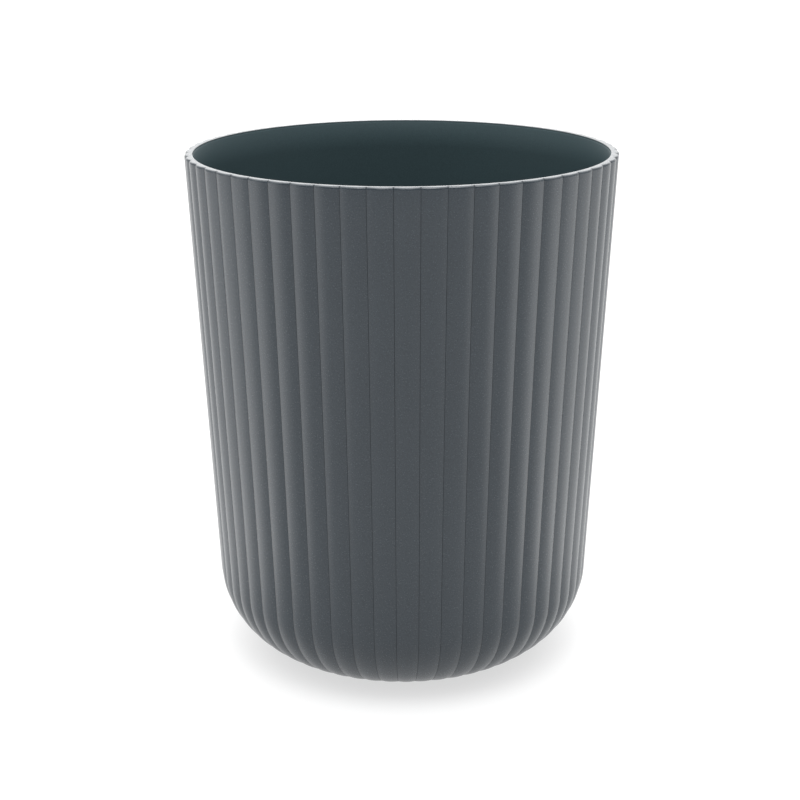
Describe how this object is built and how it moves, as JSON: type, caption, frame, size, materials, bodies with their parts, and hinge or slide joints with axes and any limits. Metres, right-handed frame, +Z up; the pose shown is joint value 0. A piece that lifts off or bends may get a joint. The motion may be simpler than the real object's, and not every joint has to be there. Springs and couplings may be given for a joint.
{
  "type": "wastebasket",
  "caption": "Round tapered wastebasket with a fluted outside, a flat-topped rim, a smooth open inside, a rounded bottom corner and soft grip pads under the floor.",
  "frame": {"origin": "on the ground, on the bin's axis, in the middle of the four pads", "axes": "+Z up along the bin's axis; +X and +Y each run over a grip pad, and every 6.43 degrees from +X there is a flute's crest"},
  "size_m": [0.2538, 0.2538, 0.3107],
  "materials": {
    "bin_plastic": "matte, fine-textured dark blue-grey",
    "pad_rubber": "matt black"
  },
  "bodies": {
    "root": {"bin_body": "bin_plastic", "foot_pad_1": "pad_rubber", "foot_pad_2": "pad_rubber", "foot_pad_3": "pad_rubber", "foot_pad_4": "pad_rubber"}
  },
  "joints": []
}
